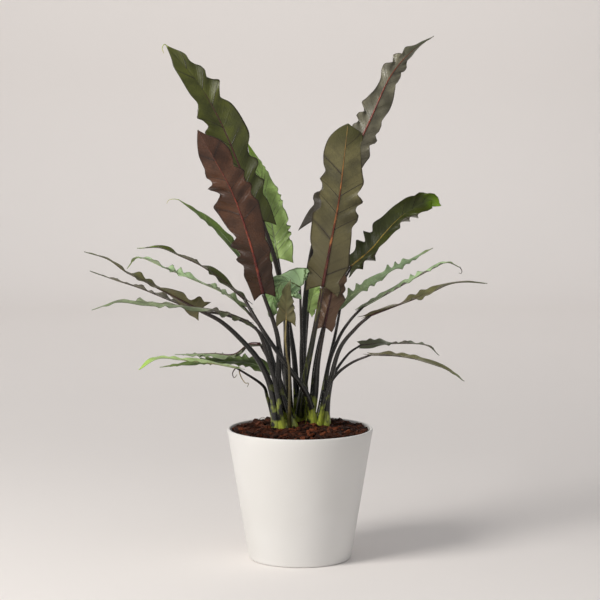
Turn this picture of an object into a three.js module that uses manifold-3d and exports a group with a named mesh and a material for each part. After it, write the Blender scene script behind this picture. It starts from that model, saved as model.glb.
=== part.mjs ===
// Potted alocasia: long arrow-shaped leaves on dark stalks, growing from three crowns in a plain
// tapered pot.
//
// Millimetres, +Z up. The origin is the centre of the pot's flat foot, on the surface that it
// stands on. The front is -Y, and +X is to the right when seen from the front.

import * as THREE from 'three';
import { mergeVertices } from 'three/addons/utils/BufferGeometryUtils.js';
import Module from 'manifold-3d';

// ---- Driving dimensions ------------------------------------------------------------------------

const GAP = 0.3; // clearance between two pieces that touch

const POT_HEIGHT = 175;
const RIM_RADIUS = 97.5;
const FOOT_RADIUS = 68;
const POT_WALL = 4;
const POT_FLOOR = 5;
const FOOT_EDGE_RADIUS = 3;
const LIP_STEPS = 4; // facets round the lip's half circle
const POT_SIDES = 40;

const MIX_BELOW_RIM = 6; // how far under the rim the mix meets the wall
const MIX_MOUND = 9; // how far its middle rises above that
const MIX_STEPS = 5;

const CROWN_RADIUS = 17;
const CROWN_HEIGHT = 17; // above the rim's plane, in which the plant's own origin lies
const CROWN_DEPTH = 46; // below it
const CROWN_SIDES = 16;
const STALK_RING = 12; // radius of the ring of stalks on a crown
const STALK_FOOT = 1; // height at which a stalk starts, inside the crown before it is trimmed

const STALK_TAPER = 0.62; // a stalk's radius at the blade, as a share of that at the crown
const STALK_SIDES = 8;
const STALK_PITCH = 24; // length of a stalk's straight steps
const ROW_PITCH = 24; // length of a blade's flat panels
const FEWEST_STEPS = 6;
const BLADE_COLUMNS = 4;
const MIDRIB_THICKNESS = 2.4;
const MARGIN_THICKNESS = 0.9;
const TIP_HALF_WIDTH = 0.8;
const FOLD = 0.26; // rise of a blade's halves from its midrib, as a slope
const LOBE_REACH = 0.4; // share of the blade that is swept back into the two lobes at its base

// ---- Colours -----------------------------------------------------------------------------------

const COLOURS = {
  pot: { color: 0xe9e8e5, roughness: 0.45 },
  mix: { color: 0x3b1c12, roughness: 0.95 },
  crown: { color: 0x9aac2c, roughness: 0.55 },
  darkStalk: { color: 0x24252a, roughness: 0.42 },
  mottledStalk: { color: 0x3a3f22, roughness: 0.45 },
  tanStalk: { color: 0x7a6a3c, roughness: 0.5 },
  olive: { color: 0x48523a, roughness: 0.45 },
  purple: { color: 0x47342f, roughness: 0.42 },
  brownOlive: { color: 0x4b4a36, roughness: 0.5 },
  darkGreen: { color: 0x33432a, roughness: 0.42 },
  brightGreen: { color: 0x4f8238, roughness: 0.42 },
  paleGreen: { color: 0x84a574, roughness: 0.42 },
  greyGreen: { color: 0x5c655a, roughness: 0.48 },
};

// ---- The leaves --------------------------------------------------------------------------------

// Each crown's leaves are listed anticlockwise, seen from above, round its ring of stalks, from
// the one at firstAt degrees. Every point is x, y, z from the centre of the rim.
// stalk: the points that the stalk passes after it leaves the crown.
// blade: the points of the midrib, from the top of the stalk to the tip.
// face: where the upper face looks. lobe: how far the lobes reach back.
// base, widest and blunt shape a blade's outline, as halfWidthAt says.
const ARCHING = [0, -0.1, 1]; // an arching blade looks up, and a little to the front

const CROWNS = [
  {
    name: 'left',
    x: -20,
    y: -14,
    firstAt: 30,
    leaves: [
      {
        name: 'light_left',
        stalk: [[-20, -5, 45], [-35, 0, 88], [-48, 9, 127]],
        blade: [
          [-76, 22, 160], [-104, 26, 179], [-140, 32, 194], [-180, 36, 210], [-215, 37, 224],
          [-231, 37, 209],
        ],
        stalkRadius: 3, halfWidth: 11, lobe: 14, face: ARCHING, look: 'paleGreen',
      },
      {
        name: 'arched_left',
        stalk: [[-23, 5, 40], [-37, 11, 80]],
        blade: [[-53, 16, 110], [-68, 22, 109], [-88, 32, 94], [-119, 48, 93], [-170, 76, 88]],
        stalkRadius: 2.5, halfWidth: 10, lobe: 10, face: ARCHING, look: 'brightGreen',
      },
      {
        name: 'thin_left',
        stalk: [[-31, -9, 56], [-40, -10, 104], [-50, -12, 125], [-68, -14, 141], [-99, -16, 153]],
        blade: [[-135, -20, 159], [-174, -26, 175], [-209, -31, 190], [-241, -35, 201], [-274, -38, 213]],
        stalkRadius: 2.8, halfWidth: 9, lobe: 10, face: ARCHING, look: 'darkGreen',
      },
      {
        name: 'fan_left',
        stalk: [[-43, -16, 43], [-50, -28, 62]],
        blade: [[-83, -60, 89], [-114, -76, 97], [-145, -92, 103], [-182, -112, 108], [-205, -124, 95]],
        stalkRadius: 2.2, halfWidth: 10, lobe: 10, face: ARCHING, look: 'brightGreen',
      },
      {
        name: 'long_left',
        stalk: [[-37, -24, 53], [-52, -32, 91], [-72, -41, 118], [-101, -52, 147]],
        blade: [
          [-130, -60, 164], [-159, -67, 181], [-193, -75, 200], [-223, -82, 216], [-246, -88, 233],
          [-276, -92, 243],
        ],
        stalkRadius: 4.4, halfWidth: 12, lobe: 18, face: ARCHING, look: 'darkGreen',
      },
      {
        name: 'low_left',
        stalk: [[-30, -36, 54], [-42, -48, 101], [-53, -58, 134]],
        blade: [
          [-69, -64, 151], [-100, -84, 165], [-146, -108, 175], [-196, -128, 182], [-227, -142, 185],
          [-261, -155, 175],
        ],
        stalkRadius: 3.2, halfWidth: 11, lobe: 16, face: ARCHING, look: 'paleGreen',
      },
      {
        name: 'front_small',
        stalk: [[-14, -45, 79], [-17, -48, 102], [-19, -50, 126]],
        blade: [[-18, -52, 151], [-18, -56, 171], [-16, -62, 192], [-12, -68, 205]],
        stalkRadius: 2.6, halfWidth: 14, base: 0.9, lobe: 10, face: [0, -1, 0.3], look: 'olive',
        stalkLook: 'tanStalk',
      },
      {
        name: 'purple_left',
        stalk: [[-27, -24, 60], [-29, -32, 124]],
        blade: [[-48, -42, 184], [-65, -55, 253], [-86, -68, 315], [-109, -80, 360], [-130, -92, 398]],
        stalkRadius: 4.2, halfWidth: 29, base: 0.66, widest: 0.4, lobe: 9, face: [0.1, 1, 0.3],
        blunt: 3.2, look: 'purple',
      },
    ],
  },
  {
    name: 'right',
    x: 24,
    y: 0,
    firstAt: 5,
    leaves: [
      {
        name: 'mid_right',
        stalk: [[36, 4, 72], [50, 6, 116], [66, 8, 142]],
        blade: [
          [84, 10, 161], [115, 12, 178], [147, 14, 196], [174, 17, 210], [195, 19, 219],
          [213, 20, 212],
        ],
        stalkRadius: 3, halfWidth: 9, lobe: 12, face: ARCHING, look: 'greyGreen',
      },
      {
        name: 'low_right',
        stalk: [[42, 20, 60], [63, 42, 91]],
        blade: [[82, 60, 103], [116, 85, 102], [171, 120, 96], [193, 135, 79]],
        stalkRadius: 2.4, halfWidth: 9, lobe: 10, face: ARCHING, look: 'darkGreen',
      },
      {
        name: 'light_right',
        stalk: [[36, 34, 70], [48, 56, 120]],
        blade: [[55, 68, 156], [77, 84, 173], [116, 108, 195], [154, 132, 213], [184, 150, 227]],
        stalkRadius: 3, halfWidth: 12, lobe: 12, face: [0, -0.5, 1], look: 'paleGreen',
      },
      {
        name: 'curled_right',
        stalk: [[22, 34, 86], [42, 48, 160]],
        blade: [
          [69, 58, 210], [96, 68, 232], [116, 76, 255], [138, 86, 276], [160, 93, 289],
          [178, 97, 297], [192, 102, 289],
        ],
        stalkRadius: 3.8, halfWidth: 19, base: 0.8, lobe: 16, face: [-0.5, -0.8, 0.5], blunt: 9,
        look: 'darkGreen',
      },
      {
        name: 'folded_centre',
        stalk: [[20, -4, 45], [24, -6, 90]],
        blade: [[32, -10, 136], [41, -6, 178], [50, 0, 222], [57, 8, 257]],
        stalkRadius: 4, halfWidth: 20, lobe: 12, face: [0.2, 1, 0], look: 'purple',
      },
      {
        name: 'dark_left',
        stalk: [[16, -14, 24], [6, -24, 54], [-14, -36, 84], [-26, -41, 102], [-49, -27, 134]],
        blade: [
          [-74, -8, 174], [-99, -2, 194], [-128, 4, 215], [-159, 8, 229], [-185, 12, 239],
          [-216, 16, 238],
        ],
        stalkRadius: 3.8, halfWidth: 10, lobe: 14, face: ARCHING, look: 'darkGreen',
      },
      {
        name: 'low_right_front',
        stalk: [[35, -23, 51], [47, -32, 75], [68, -48, 94]],
        blade: [[93, -60, 106], [129, -82, 107], [166, -108, 102], [191, -124, 93], [208, -135, 82]],
        stalkRadius: 2.4, halfWidth: 9, lobe: 10, face: ARCHING, look: 'greyGreen',
      },
      {
        name: 'long_right',
        stalk: [[38, -13, 51], [51, -28, 107], [73, -38, 138]],
        blade: [
          [92, -45, 156], [127, -58, 171], [165, -72, 187], [190, -84, 200], [211, -92, 204],
          [239, -100, 203],
        ],
        stalkRadius: 3.6, halfWidth: 11, lobe: 16, face: ARCHING, look: 'darkGreen',
      },
    ],
  },
  {
    name: 'back',
    x: -3,
    y: 24,
    firstAt: -90,
    leaves: [
      {
        name: 'big_right',
        stalk: [[6, 0, 61], [17, -12, 120]],
        blade: [[30, -25, 192], [40, -32, 247], [51, -38, 307], [58, -44, 368], [62, -50, 405]],
        stalkRadius: 4.6, halfWidth: 28, base: 0.9, widest: 0.4, lobe: 10, face: [0.2, 1, 0.2],
        blunt: 7, look: 'brownOlive', stalkLook: 'mottledStalk',
      },
      {
        name: 'pale_centre',
        stalk: [[4, 12, 60], [2, 2, 120]],
        blade: [[0, -10, 189], [-13, -16, 196], [-25, -20, 195], [-33, -22, 179]],
        stalkRadius: 2.6, halfWidth: 11, lobe: 6, face: [0, -1, 0.4], look: 'paleGreen',
      },
      {
        name: 'tall_right',
        stalk: [[4, 22, 80], [5, 22, 133], [9, 26, 187], [17, 31, 238]],
        blade: [[29, 33, 278], [49, 40, 318], [89, 50, 397], [120, 62, 463], [150, 76, 498], [180, 90, 518]],
        stalkRadius: 5, halfWidth: 18, base: 1.2, widest: 0.5, lobe: 30, face: [0.3, 1, 0.4],
        blunt: 4, look: 'greyGreen',
      },
      {
        name: 'light_centre',
        stalk: [[6, 38, 80]],
        blade: [[11, 44, 150], [18, 48, 178], [26, 54, 205]],
        stalkRadius: 2.6, halfWidth: 11, lobe: 6, face: [0.2, -1, 0.3], look: 'brightGreen',
      },
      {
        name: 'green_left',
        stalk: [[-7, 42, 80], [-14, 42, 130], [-22, 40, 170]],
        blade: [[-30, 43, 222], [-37, 50, 262], [-46, 58, 307], [-70, 68, 375]],
        stalkRadius: 4, halfWidth: 24, base: 0.85, lobe: 10, face: [0.2, -1, 0.2],
        look: 'brightGreen',
      },
      {
        name: 'narrow_left',
        stalk: [[-20, 36, 60], [-31, 42, 120]],
        blade: [[-51, 50, 187], [-100, 66, 248], [-137, 82, 279], [-165, 92, 298]],
        stalkRadius: 3.2, halfWidth: 9, lobe: 10, face: [0.4, -0.6, 0.7], look: 'brightGreen',
      },
      {
        name: 'tall_left',
        stalk: [[-17, 23, 80], [-20, 22, 160], [-34, 22, 225]],
        blade: [
          [-50, 24, 273], [-68, 30, 313], [-94, 42, 378], [-115, 52, 421], [-139, 60, 459],
          [-179, 70, 506],
        ],
        stalkRadius: 5, halfWidth: 26, widest: 0.55, lobe: 20, face: [0.3, -1, 0.3], blunt: 6,
        look: 'olive',
      },
      {
        name: 'low_back_left',
        stalk: [[-26, 14, 32]],
        blade: [[-38, 32, 70], [-67, 40, 81], [-98, 50, 82], [-135, 62, 79], [-191, 80, 70]],
        stalkRadius: 2.4, halfWidth: 10, lobe: 10, face: ARCHING, look: 'darkGreen',
      },
    ],
  },
];

// ---- Solids ------------------------------------------------------------------------------------

const wasm = await Module();
wasm.setup();

// A closed geometry as a solid. Its shared vertices are merged, and a triangle that has shrunk to
// a line, as at the axis of a lathe, is left out.
function solidOf(geometry) {
  const bare = geometry.clone();
  bare.deleteAttribute('normal');
  bare.deleteAttribute('uv');
  const merged = mergeVertices(bare, 1e-4);
  const corners = merged.index.array;
  const kept = [];
  for (let i = 0; i < corners.length; i += 3) {
    const [a, b, c] = corners.slice(i, i + 3);
    if (a !== b && b !== c && c !== a) kept.push(a, b, c);
  }
  return new wasm.Manifold(
    new wasm.Mesh({
      numProp: 3,
      vertProperties: merged.attributes.position.array,
      triVerts: new Uint32Array(kept),
    }),
  );
}

function meshOf(name, solid, look) {
  const { vertProperties, triVerts } = solid.getMesh();
  const geometry = new THREE.BufferGeometry();
  geometry.setAttribute('position', new THREE.BufferAttribute(vertProperties, 3));
  geometry.setIndex([...triVerts]);
  geometry.computeVertexNormals();
  const material = new THREE.MeshStandardMaterial({ ...COLOURS[look], metalness: 0 });
  const mesh = new THREE.Mesh(geometry, material);
  mesh.name = name;
  return mesh;
}

// A solid of revolution about Z, from points of radius and height that run up its outside.
function turned(profile, sides) {
  const points = profile.map(([radius, height]) => new THREE.Vector2(radius, height));
  return solidOf(new THREE.LatheGeometry(points, sides).rotateX(Math.PI / 2));
}

function near(a, b) {
  const [one, two] = [a.boundingBox(), b.boundingBox()];
  return [0, 1, 2].every((i) => one.min[i] <= two.max[i] && two.min[i] <= one.max[i]);
}

// The solid cut back from each envelope that reaches it. Only its largest part stays.
function clearOf(solid, envelopes) {
  for (const envelope of envelopes) {
    if (near(solid, envelope)) solid = solid.subtract(envelope);
  }
  const parts = solid.decompose();
  return parts.reduce((most, part) => (part.volume() > most.volume() ? part : most));
}

// ---- The pot and what fills it -----------------------------------------------------------------

const outerRadius = (height) => FOOT_RADIUS + ((RIM_RADIUS - FOOT_RADIUS) * height) / POT_HEIGHT;
const innerRadius = (height) => outerRadius(height) - POT_WALL;

function pot() {
  const lipRadius = POT_WALL / 2;
  const lipHeight = POT_HEIGHT - lipRadius;
  const lip = [];
  for (let i = 0; i <= LIP_STEPS; i++) {
    const turn = (Math.PI * i) / LIP_STEPS;
    lip.push([
      outerRadius(lipHeight) - lipRadius * (1 - Math.cos(turn)),
      lipHeight + lipRadius * Math.sin(turn),
    ]);
  }
  const edgeMiddle = FOOT_EDGE_RADIUS * (1 - Math.SQRT1_2);
  return turned(
    [
      [0, 0],
      [FOOT_RADIUS - FOOT_EDGE_RADIUS, 0],
      [FOOT_RADIUS - edgeMiddle, edgeMiddle],
      [outerRadius(FOOT_EDGE_RADIUS), FOOT_EDGE_RADIUS],
      ...lip,
      [innerRadius(POT_FLOOR), POT_FLOOR],
      [0, POT_FLOOR],
    ],
    POT_SIDES,
  );
}

function pottingMix(envelopes) {
  const bottom = POT_FLOOR + GAP;
  const edge = POT_HEIGHT - MIX_BELOW_RIM;
  const edgeRadius = innerRadius(edge) - GAP;
  const mound = [];
  for (let i = 0; i <= MIX_STEPS; i++) {
    const out = 1 - i / MIX_STEPS;
    mound.push([edgeRadius * out, edge + MIX_MOUND * (1 - out * out)]);
  }
  const whole = turned([[0, bottom], [innerRadius(bottom) - GAP, bottom], ...mound], POT_SIDES);
  return clearOf(whole, envelopes);
}

// A crown: the swollen foot that a clump of stalks grows from, most of it in the mix.
function crown(grow) {
  return turned(
    [
      [0, -CROWN_DEPTH - grow],
      [CROWN_RADIUS * 0.55 + grow, -CROWN_DEPTH * 0.92 - grow],
      [CROWN_RADIUS * 0.85 + grow, -CROWN_DEPTH * 0.65],
      [CROWN_RADIUS + grow, -CROWN_DEPTH * 0.2],
      [CROWN_RADIUS * 0.94 + grow, CROWN_HEIGHT * 0.25],
      [CROWN_RADIUS * 0.72 + grow, CROWN_HEIGHT * 0.72 + grow],
      [CROWN_RADIUS * 0.3 + grow, CROWN_HEIGHT + grow],
      [0, CROWN_HEIGHT + grow],
    ],
    CROWN_SIDES,
  );
}

// ---- Stalks and blades -------------------------------------------------------------------------

const vector = ([x, y, z]) => new THREE.Vector3(x, y, z);
const smoothCurve = (points) =>
  new THREE.CatmullRomCurve3(points.map(vector), false, 'catmullrom', 0.5);

// The point at a length along a curve, and the directions there: along it, up towards the given
// face, and across. Outside the curve's ends the point runs on straight.
function frameAt(curve, length, face) {
  const whole = curve.getLength();
  const inside = THREE.MathUtils.clamp(length, 0, whole);
  const along = curve.getTangentAt(inside / whole);
  const point = curve.getPointAt(inside / whole).addScaledVector(along, length - inside);
  const up = face.clone().addScaledVector(along, -face.dot(along)).normalize();
  return { point, up, across: along.clone().cross(up) };
}

// Moves each vertex of a geometry to where place says.
function reshape(geometry, place) {
  const positions = geometry.attributes.position;
  const vertex = new THREE.Vector3();
  for (let i = 0; i < positions.count; i++) {
    vertex.fromBufferAttribute(positions, i);
    positions.setXYZ(i, ...place(vertex).toArray());
  }
  return geometry;
}

const stepsFor = (length, pitch) => Math.max(FEWEST_STEPS, Math.round(length / pitch));
const signedEnd = (share) => (share === 0 ? -1 : share === 1 ? 1 : 0);

// A round stalk that thins towards the blade, grown all round by a clearance.
function stalk(leaf, foot, grow) {
  const curve = smoothCurve([foot, ...leaf.stalk, leaf.blade[0]]);
  const length = curve.getLength();
  const steps = stepsFor(length, STALK_PITCH);
  const rod = new THREE.CylinderGeometry(1, 1, 1, STALK_SIDES, steps).translate(0, 0.5, 0);
  const back = new THREE.Vector3(0, 1, 0);
  reshape(rod, ({ x, y: share, z }) => {
    const radius = leaf.stalkRadius * THREE.MathUtils.lerp(1, STALK_TAPER, share) + grow;
    const { point, up, across } = frameAt(curve, length * share + grow * signedEnd(share), back);
    return point.addScaledVector(across, x * radius).addScaledVector(up, z * radius);
  });
  return solidOf(rod);
}

// Half of a blade's width at a share of its length. It starts at the leaf's base share of its
// halfWidth, swells to the whole where it is widest, and closes at the tip.
function halfWidthAt(leaf, share) {
  const { halfWidth, base = 0.62, widest = 0.3, blunt = 3 } = leaf;
  const swell = base + (1 - base) * Math.sin((Math.PI / 2) * Math.min(share / widest, 1));
  return Math.max(halfWidth * swell * (1 - share ** blunt), TIP_HALF_WIDTH);
}

// A blade folded along its midrib, with its base swept back into two lobes.
function blade(leaf, grow) {
  const curve = smoothCurve(leaf.blade);
  const length = curve.getLength();
  const rows = stepsFor(length, ROW_PITCH);
  const slab = new THREE.BoxGeometry(2, 1, 1, BLADE_COLUMNS, rows, 1).translate(0, 0.5, 0);
  const face = vector(leaf.face);
  reshape(slab, ({ x, y: share, z }) => {
    const out = Math.abs(x);
    const swept = leaf.lobe * out * Math.max(0, 1 - share / LOBE_REACH) ** 2;
    const along = length * share - swept + grow * signedEnd(share);
    const halfWidth = halfWidthAt(leaf, share);
    const thickness = THREE.MathUtils.lerp(MIDRIB_THICKNESS, MARGIN_THICKNESS, out) + 2 * grow;
    const { point, up, across } = frameAt(curve, along, face);
    return point
      .addScaledVector(across, x * (halfWidth + grow))
      .addScaledVector(up, out * halfWidth * FOLD + z * thickness);
  });
  return solidOf(slab);
}

// ---- The whole plant ---------------------------------------------------------------------------

const plant = new THREE.Group();
plant.position.z = POT_HEIGHT;

const envelopes = []; // each finished piece with its clearance, which later pieces keep clear of

for (const clump of CROWNS) {
  const place = [clump.x, clump.y, 0];
  const solid = clearOf(crown(0).translate(place), envelopes);
  plant.add(meshOf(`crown_${clump.name}`, solid, 'crown'));
  envelopes.push(crown(GAP).translate(place));
}

const leaves = CROWNS.flatMap((clump) =>
  clump.leaves.map((leaf, i) => {
    const turn = THREE.MathUtils.degToRad(clump.firstAt + (360 * i) / clump.leaves.length);
    const x = clump.x + STALK_RING * Math.cos(turn);
    const y = clump.y + STALK_RING * Math.sin(turn);
    return { ...leaf, foot: [x, y, STALK_FOOT] };
  }),
);

for (const leaf of leaves) {
  const solid = clearOf(stalk(leaf, leaf.foot, 0), envelopes);
  plant.add(meshOf(`stalk_${leaf.name}`, solid, leaf.stalkLook ?? 'darkStalk'));
  envelopes.push(stalk(leaf, leaf.foot, GAP));
}

for (const leaf of leaves) {
  const solid = clearOf(blade(leaf, 0), envelopes);
  plant.add(meshOf(`blade_${leaf.name}`, solid, leaf.look));
  envelopes.push(blade(leaf, GAP));
}

const inPot = envelopes.map((envelope) => envelope.translate([0, 0, POT_HEIGHT]));

const pottedAlocasia = new THREE.Group();
pottedAlocasia.add(meshOf('pot', pot(), 'pot'));
pottedAlocasia.add(meshOf('potting_mix', pottingMix(inPot), 'mix'));
pottedAlocasia.add(plant);

export default pottedAlocasia;
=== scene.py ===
# %% [markdown]
# # A potted alocasia
#
# This lesson grows a long-leaved alocasia in a plain white pot. The frame comes first: it holds the
# plain solids of the pot, the potting mix, the crowns, the stalks and the blades, at their real
# size. The pieces made here take the places of those solids, and are far finer than they are.
# Everything is in metres, with Z up and the front at -Y.

import math
import random

import bmesh
import bpy
import numpy as np
from mathutils import Matrix, Vector


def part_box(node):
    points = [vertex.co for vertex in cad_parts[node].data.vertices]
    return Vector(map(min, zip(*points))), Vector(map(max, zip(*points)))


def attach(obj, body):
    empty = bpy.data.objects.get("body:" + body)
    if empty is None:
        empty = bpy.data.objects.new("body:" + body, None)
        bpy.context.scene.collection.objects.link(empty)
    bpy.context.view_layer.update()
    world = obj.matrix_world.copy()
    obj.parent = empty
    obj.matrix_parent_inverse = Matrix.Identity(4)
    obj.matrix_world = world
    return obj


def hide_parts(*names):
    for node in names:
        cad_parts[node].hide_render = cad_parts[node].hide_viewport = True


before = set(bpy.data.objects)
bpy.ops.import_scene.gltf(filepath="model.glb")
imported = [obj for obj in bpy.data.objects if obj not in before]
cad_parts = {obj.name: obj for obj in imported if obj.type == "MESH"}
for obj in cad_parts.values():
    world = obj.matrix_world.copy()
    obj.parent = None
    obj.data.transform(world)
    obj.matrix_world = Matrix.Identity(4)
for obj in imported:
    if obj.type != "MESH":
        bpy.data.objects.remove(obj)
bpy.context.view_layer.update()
MM = 0.001
RIM_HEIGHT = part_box("pot")[1].z
print("frame:", len(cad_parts), "nodes, the rim is", round(RIM_HEIGHT, 3), "m up")

# %% [markdown]
# ## Where it is seen from
#
# A plant this open looks best through a long lens from a little way off, because the leaves that
# lean forward don't swell. The camera stands about three metres away, level with the highest leaf
# tips, and looks down by a few degrees, so that a thin slice of the potting mix shows.

# %% Camera
CAMERA_PLACE = (0, -2.9565, 0.667)
CAMERA_TILT = math.radians(83.8)

camera_data = bpy.data.cameras.new("camera")
camera_data.lens = 135
camera_data.sensor_width = 36
camera = bpy.data.objects.new("camera", camera_data)
camera.location = CAMERA_PLACE
camera.rotation_euler = (CAMERA_TILT, 0, 0)
bpy.context.scene.collection.objects.link(camera)
bpy.context.scene.camera = camera
print("camera", CAMERA_PLACE)

# %% [markdown]
# ## Helpers for meshes
#
# Every piece below starts as a bmesh. These two helpers turn one into a finished object: they put it in the
# scene, ride it on the frame's one body and hide the solid that it stands for. Faces are shaded smooth,
# because nearly everything here is grown or moulded.


# %% Turn a bmesh into a finished piece
def object_from(bm, name, materials, smooth=True):
    """A new object from a bmesh, which is freed. It stays at the origin, with its place in its mesh."""
    mesh = bpy.data.meshes.new(name)
    bm.to_mesh(mesh)
    bm.free()
    for material in materials:
        mesh.materials.append(material)
    mesh.polygons.foreach_set("use_smooth", [smooth] * len(mesh.polygons))
    piece = bpy.data.objects.new(name, mesh)
    bpy.context.scene.collection.objects.link(piece)
    return piece


def finished(piece, slot, *nodes):
    """Rides a piece on the frame, in place of the nodes, which are hidden. slot is not used."""
    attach(piece, "root")
    if nodes:
        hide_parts(*nodes)
    return piece


# %% [markdown]
# ## Helpers for materials
#
# A material is a small network. `add` makes a node and joins its inputs in one line, and the rest
# are short names for the nodes used most, which keeps the recipes short enough to read.


# %% Build node networks in short lines
class Network:
    """A node tree, with one call to add a node: values and links go in by the input's name or number."""

    def __init__(self, tree):
        self.tree = tree

    def add(self, kind, inputs=None, **settings):
        node = self.tree.nodes.new(kind)
        for key, value in settings.items():
            setattr(node, key, value)
        for key, value in (inputs or {}).items():
            socket = node.inputs[key]
            if isinstance(value, bpy.types.NodeSocket):
                self.tree.links.new(value, socket)
            else:
                socket.default_value = value
        return node

    def maths(self, operation, *values):
        return self.add("ShaderNodeMath", dict(enumerate(values)), operation=operation).outputs[0]

    def mix(self, share, one, two, blend="MIX"):
        inputs = {0: share, 6: one, 7: two}
        return self.add("ShaderNodeMix", inputs, data_type="RGBA", blend_type=blend).outputs[2]

    def spread(self, value, low, high, to_low=0.0, to_high=1.0):
        """A value's run from low to high, eased and carried over to another run."""
        inputs = {"Value": value, "From Min": low, "From Max": high}
        inputs.update({"To Min": to_low, "To Max": to_high})
        return self.add("ShaderNodeMapRange", inputs, interpolation_type="SMOOTHSTEP").outputs[0]

    def place(self, *scale):
        """Where a point lies on the object, with its axes scaled, so that a pattern stretches."""
        place = self.add("ShaderNodeTexCoord").outputs["Object"]
        if scale:
            place = self.add("ShaderNodeMapping", {"Vector": place, "Scale": scale}).outputs[0]
        return place

    def noise(self, place, scale, detail):
        inputs = {"Vector": place, "Scale": scale, "Detail": detail}
        return self.add("ShaderNodeTexNoise", inputs).outputs[0]

    def dress(self, shader, colour, roughness, height, strength, distance):
        """Gives a shader its colour and roughness, and a bump of a strength and a depth in metres."""
        inputs = {"Strength": strength, "Distance": distance, "Height": height}
        bump = self.add("ShaderNodeBump", inputs).outputs["Normal"]
        sockets = [shader[name] for name in ("Base Color", "Roughness", "Normal")]
        self.link((colour, roughness, bump), sockets)

    def link(self, values, sockets):
        """Links each value to its socket, in order."""
        for value, socket in zip(values, sockets):
            self.tree.links.new(value, socket)


def new_group(name, colours, values):
    """A node group with its inputs named in two strings: its network, and the sockets at both ends."""
    tree = bpy.data.node_groups.new(name, "ShaderNodeTree")
    wanted = [("INPUT", word, "Color") for word in colours.split()]
    wanted += [("INPUT", word, "Float") for word in values.split()]
    wanted += [("OUTPUT", "Color", "Color")]
    wanted += [("OUTPUT", word, "Float") for word in ("Roughness", "Height")]
    for direction, word, kind in wanted:
        tree.interface.new_socket(word, in_out=direction, socket_type="NodeSocket" + kind)
    given, result = tree.nodes.new("NodeGroupInput"), tree.nodes.new("NodeGroupOutput")
    return Network(tree), given.outputs, result.inputs


def new_material(name):
    """A material with a plain Principled shader, and its network."""
    material = bpy.data.materials.new(name)
    material.use_nodes = True
    tree = material.node_tree
    return material, Network(tree), tree.nodes["Principled BSDF"].inputs


def rgba(red, green, blue):
    return (red, green, blue, 1.0)


def skinned(name, tree, colours, values, strength, distance):
    """A material that wears a group with these colours and values, and its shader."""
    material, net, shader = new_material(name)
    inputs = {word: rgba(*colour) for word, colour in colours.items()}
    group = net.add("ShaderNodeGroup", {**inputs, **values}, node_tree=tree)
    net.dress(shader, *group.outputs, strength, distance)
    return material, shader


# %% [markdown]
# ## Smooth lines
#
# Stalks, midribs, veins, tendrils and fibres all follow a line through a few points. The line is a
# Catmull-Rom curve, which passes through every point and needs no handles, so a few given points are
# enough. It is sampled densely once, and then measured along its length.


# %% A line through points
class Line:
    """A smooth line through a few points, measured along its length. It runs on straight past its ends."""

    SAMPLES_PER_SPAN = 40

    def __init__(self, points):
        p = np.array(points, float)
        p = np.vstack([2 * p[0] - p[1], p, 2 * p[-1] - p[-2]])
        t = np.linspace(0, 1, self.SAMPLES_PER_SPAN, endpoint=False)[:, None]
        spans = [
            b + 0.5 * t * ((c - a) + t * ((2 * a - 5 * b + 4 * c - d) + t * (3 * b - a - 3 * c + d)))
            for a, b, c, d in zip(p, p[1:], p[2:], p[3:])
        ]
        self.points = np.vstack([*spans, p[-2:-1]])
        steps = np.linalg.norm(np.diff(self.points, axis=0), axis=1)
        self.places = np.concatenate([[0.0], np.cumsum(steps)])
        self.length = self.places[-1]
        self.slopes = unit(np.gradient(self.points, axis=0))

    def at(self, distance):
        """The points at these distances along the line, and the directions there."""
        inside = np.clip(distance, 0, self.length)
        point = [np.interp(inside, self.places, self.points[:, k]) for k in range(3)]
        along = [np.interp(inside, self.places, self.slopes[:, k]) for k in range(3)]
        along = unit(np.stack(along, -1))
        return np.stack(point, -1) + along * (distance - inside)[..., None], along


def unit(vectors):
    return vectors / np.linalg.norm(vectors, axis=-1, keepdims=True)


def sideways(along, face):
    """Two directions square to a line: up, towards the face, and across."""
    face = np.array(face, float)
    up = unit(face - along * (along @ face)[..., None])
    return up, np.cross(along, up)


def in_pot(points):
    """Points in millimetres from the centre of the rim, as points of the frame in metres."""
    return [(x * MM, y * MM, RIM_HEIGHT + z * MM) for x, y, z in points]


# %% [markdown]
# ## A rod along a line
#
# A grid rolled into a tube gives clean rings of four-sided faces. The grid's own coordinates say
# how far round and how far along each corner is, and are kept in an attribute named `skin`, which
# the materials read: x is the way round or across, y a measure along, z the share of the length.


# %% Roll a grid into a rod
def rolled_rod(line, radius, sides, rows, back=(0, 1, 0), material=0):
    """A closed round rod. radius is a function of the share of the length that is behind a point."""
    bm = bmesh.new()
    bmesh.ops.create_grid(bm, x_segments=sides, y_segments=rows, size=0.5)
    skin = bm.verts.layers.float_vector.new("skin")
    corners = np.array([v.co for v in bm.verts])
    turn, share = corners[:, 0] + 0.5, corners[:, 1] + 0.5
    point, along = line.at(line.length * share)
    up, across = sideways(along, back)
    angle = 2 * math.pi * turn
    thick = radius(share)[:, None]
    place = point + thick * (across * np.cos(angle)[:, None] - up * np.sin(angle)[:, None])
    for v, co, *values in zip(bm.verts, place, turn, line.length * share, share):
        v.co = co
        v[skin] = values
    bmesh.ops.remove_doubles(bm, verts=bm.verts, dist=1e-7)
    bmesh.ops.holes_fill(bm, edges=bm.edges, sides=sides + 1)
    bmesh.ops.recalc_face_normals(bm, faces=bm.faces)
    for face in bm.faces:
        face.material_index = material
    return bm


def join_into(whole, part):
    """Adds a bmesh to another, and frees it."""
    mesh = bpy.data.meshes.new("part")
    part.to_mesh(mesh)
    part.free()
    whole.from_mesh(mesh)
    bpy.data.meshes.remove(mesh)
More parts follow.
